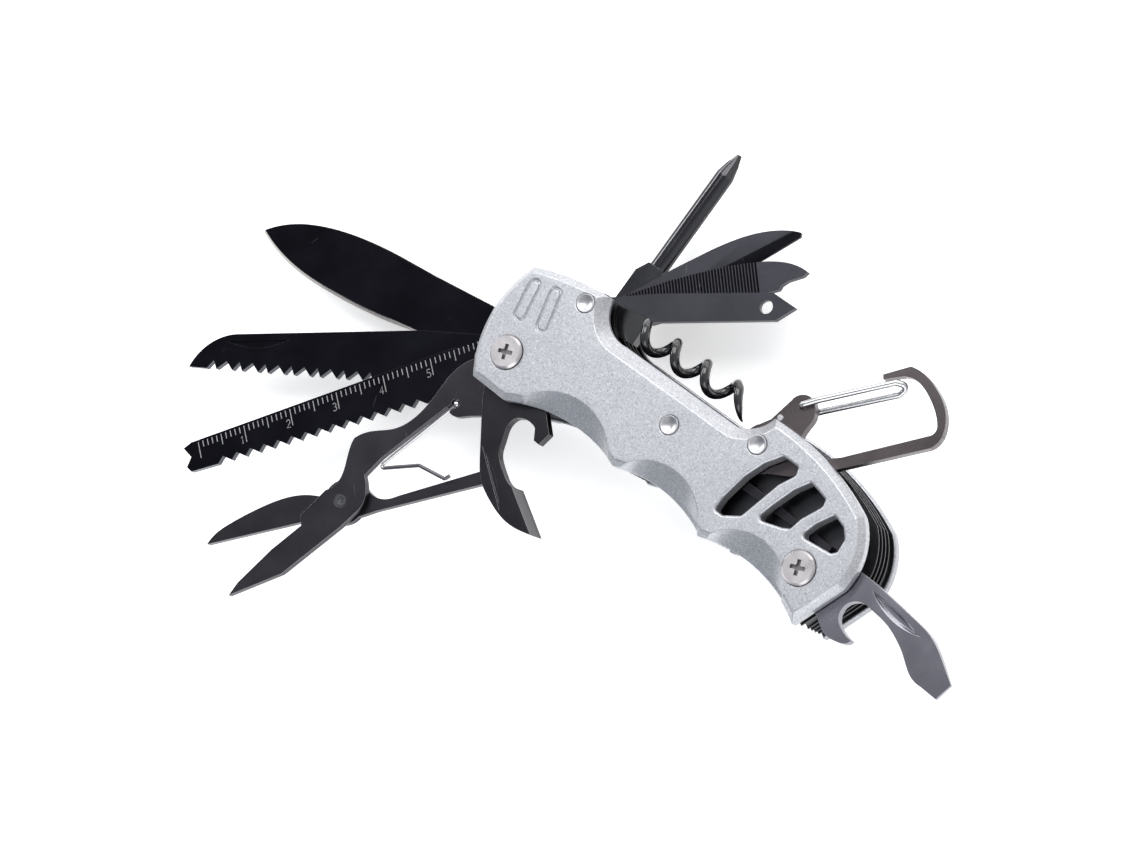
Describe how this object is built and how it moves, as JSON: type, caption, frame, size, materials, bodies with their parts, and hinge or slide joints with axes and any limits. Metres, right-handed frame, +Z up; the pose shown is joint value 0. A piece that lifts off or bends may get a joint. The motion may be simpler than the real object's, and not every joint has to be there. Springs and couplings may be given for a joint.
{
  "type": "folding multi tool",
  "caption": "Folding pocket multi tool: metal scales hold a knife, saw, ruler, scissors, openers, drivers, file, corkscrew and a swinging carabiner.",
  "frame": {"origin": "on the rear scale's outer face, midway between the two handle screws along the handle and 3 mm from their line towards the back edge", "axes": "+X from the head screw to the tail screw, +Y to the back edge with the corkscrew's notch, +Z up from the rear scale to the front scale"},
  "size_m": [0.1714, 0.122, 0.0217],
  "materials": {
    "scale_paint": "silver metallic, fine sparkle",
    "liner_steel": "dark rolled steel, light worn edges",
    "spring_steel": "dark rolled steel",
    "fastener_steel": "bright turned steel",
    "black_blade": "near-black satin coating with a light ground edge",
    "grey_blade": "dark grey brushed, light ground edges",
    "blue_grey_steel": "blue-grey satin",
    "carabiner_metal": "brownish grey satin",
    "worm_black": "glossy black",
    "bright_wire": "bright drawn wire"
  },
  "bodies": {
    "handle": {"front_scale": "scale_paint", "rear_scale": "scale_paint", "liner_1": "liner_steel", "liner_2": "liner_steel", "liner_3": "liner_steel", "liner_4": "liner_steel", "liner_5": "liner_steel", "liner_6": "liner_steel", "liner_7": "liner_steel", "back_spring_knife": "spring_steel", "back_spring_saw": "spring_steel", "back_spring_ruler": "spring_steel", "back_spring_needle": "spring_steel", "back_spring_scissors": "spring_steel", "back_spring_opener": "spring_steel", "barrels": "fastener_steel", "screws": "fastener_steel", "rivets": "fastener_steel", "head_spacer": "spring_steel", "scissors_spacer": "spring_steel", "rivet_spacer": "spring_steel"},
    "knife": {"knife": "black_blade"},
    "saw": {"saw": "black_blade"},
    "ruler": {"ruler": "black_blade"},
    "can_opener": {"can_opener": "grey_blade"},
    "flat_driver": {"flat_driver": "blue_grey_steel"},
    "needle": {"needle": "blue_grey_steel"},
    "file": {"file": "blue_grey_steel"},
    "reamer": {"reamer": "grey_blade"},
    "phillips_driver": {"phillips_driver": "grey_blade"},
    "corkscrew": {"corkscrew": "worm_black"},
    "scissors_blade": {"scissors_blade": "grey_blade", "scissors_spring": "bright_wire"},
    "scissors_rivet": {"scissors_rivet": "fastener_steel"},
    "scissors_lever": {"scissors_lever": "grey_blade"},
    "scissors_spring_arm": {"scissors_spring_arm": "bright_wire"},
    "carabiner": {"carabiner_frame": "carabiner_metal", "carabiner_pin": "bright_wire"},
    "carabiner_gate": {"carabiner_gate": "bright_wire"}
  },
  "joints": [
    {"name": "knife_fold", "type": "hinge", "parent": "handle", "child": "knife", "pos_m": [-0.0355, -0.003, 0.0046], "axis": [0, 0, -1], "range_deg": [-169.9, 6.6]},
    {"name": "saw_fold", "type": "hinge", "parent": "handle", "child": "saw", "pos_m": [-0.0355, -0.003, 0.00695], "axis": [0, 0, -1], "range_deg": [-144, 30.5]},
    {"name": "ruler_fold", "type": "hinge", "parent": "handle", "child": "ruler", "pos_m": [-0.0355, -0.003, 0.00885], "axis": [0, 0, -1], "range_deg": [-127.5, 45.5]},
    {"name": "scissors_fold", "type": "hinge", "parent": "handle", "child": "scissors_blade", "pos_m": [-0.0355, -0.003, 0.0143], "axis": [0, 0, -1], "range_deg": [-103.8, 30.2]},
    {"name": "can_opener_fold", "type": "hinge", "parent": "handle", "child": "can_opener", "pos_m": [-0.0355, -0.003, 0.0165], "axis": [0, 0, -1], "range_deg": [-42, 133]},
    {"name": "flat_driver_fold", "type": "hinge", "parent": "handle", "child": "flat_driver", "pos_m": [0.0355, -0.003, 0.0165], "axis": [0, 0, 1], "range_deg": [-168, 0]},
    {"name": "needle_fold", "type": "hinge", "parent": "handle", "child": "needle", "pos_m": [-0.0281, 0.0127, 0.01075], "axis": [0, 0, 1], "range_deg": [-38.8, 60.2]},
    {"name": "file_fold", "type": "hinge", "parent": "handle", "child": "file", "pos_m": [-0.0281, 0.0127, 0.00885], "axis": [0, 0, 1], "range_deg": [-49.7, 49.3]},
    {"name": "reamer_fold", "type": "hinge", "parent": "handle", "child": "reamer", "pos_m": [-0.0281, 0.0127, 0.00695], "axis": [0, 0, 1], "range_deg": [-61.2, 37.8]},
    {"name": "phillips_fold", "type": "hinge", "parent": "handle", "child": "phillips_driver", "pos_m": [-0.0281, 0.0127, 0.0046], "axis": [0, 0, 1], "range_deg": [-93.2, 5.8]},
    {"name": "corkscrew_fold", "type": "hinge", "parent": "handle", "child": "corkscrew", "pos_m": [-0.0281, 0.0127, 0.0137], "axis": [0, 0, 1], "range_deg": [0, 93]},
    {"name": "carabiner_swing", "type": "hinge", "parent": "handle", "child": "carabiner", "pos_m": [0.0156, 0.0102, 0.0165], "axis": [0, 0, 1], "range_deg": [-43, 45]},
    {"name": "gate_press", "type": "hinge", "parent": "carabiner", "child": "carabiner_gate", "pos_m": [0.01687, 0.02024, 0.017], "axis": [0, 0, -1], "range_deg": [0, 14], "stiffness_Nm_per_rad": 0.02},
    {"name": "rivet_turn", "type": "hinge", "parent": "scissors_blade", "child": "scissors_rivet", "pos_m": [-0.04937, -0.04392, 0.0135], "axis": [0, 0, 1], "range_deg": [-6.9, 23.7]},
    {"name": "scissors_snip", "type": "hinge", "parent": "scissors_rivet", "child": "scissors_lever", "pos_m": [-0.04937, -0.04392, 0.0127], "axis": [0, 0, 1], "range_deg": [0, 23.7], "stiffness_Nm_per_rad": 0.01},
    {"name": "spring_bend", "type": "hinge", "parent": "scissors_rivet", "child": "scissors_spring_arm", "pos_m": [-0.04664, -0.03377, 0.0142], "axis": [0, 0, 1], "range_deg": [0, 31], "deforming": ["scissors_spring_arm"]}
  ],
  "couplings": [
    {"joint": "rivet_turn", "follows": "scissors_fold", "ratio": -0.2283},
    {"joint": "spring_bend", "follows": "scissors_snip", "ratio": 1.3}
  ]
}
